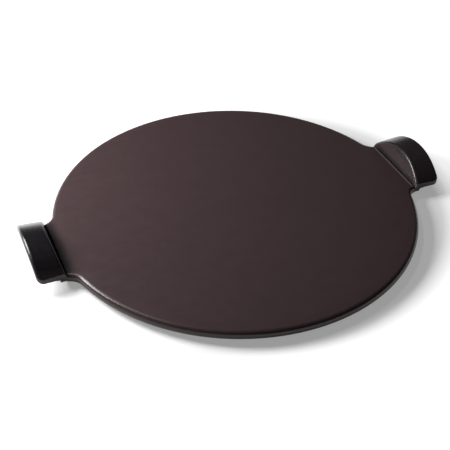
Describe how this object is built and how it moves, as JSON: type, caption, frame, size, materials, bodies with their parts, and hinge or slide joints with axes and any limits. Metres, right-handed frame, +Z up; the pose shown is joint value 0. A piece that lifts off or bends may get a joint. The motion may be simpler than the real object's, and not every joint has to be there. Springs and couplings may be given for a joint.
{
  "type": "pizza stone",
  "caption": "Round glazed stoneware baking plate with a softly rounded rim and an arched, raised lifting handle at each end.",
  "frame": {"origin": "on the table, under the middle of the plate", "axes": "+X runs along the line through the two handles, towards the handle that is farther from the camera in the picture; +Y runs across the plate, away from the camera; +Z is up, out of the cooking face"},
  "size_m": [0.4322, 0.368, 0.0347],
  "materials": {
    "clay": "bare fired stoneware, matte and lightly sandy",
    "slip": "fired joining slip, matte and dense",
    "glaze": "dark reddish-brown satin glaze"
  },
  "bodies": {
    "root": {"plate": "clay", "plate_glaze": "glaze", "slip_right": "slip", "slip_left": "slip", "handle_right": "clay", "handle_left": "clay", "handle_glaze_right": "glaze", "handle_glaze_left": "glaze"}
  },
  "joints": []
}
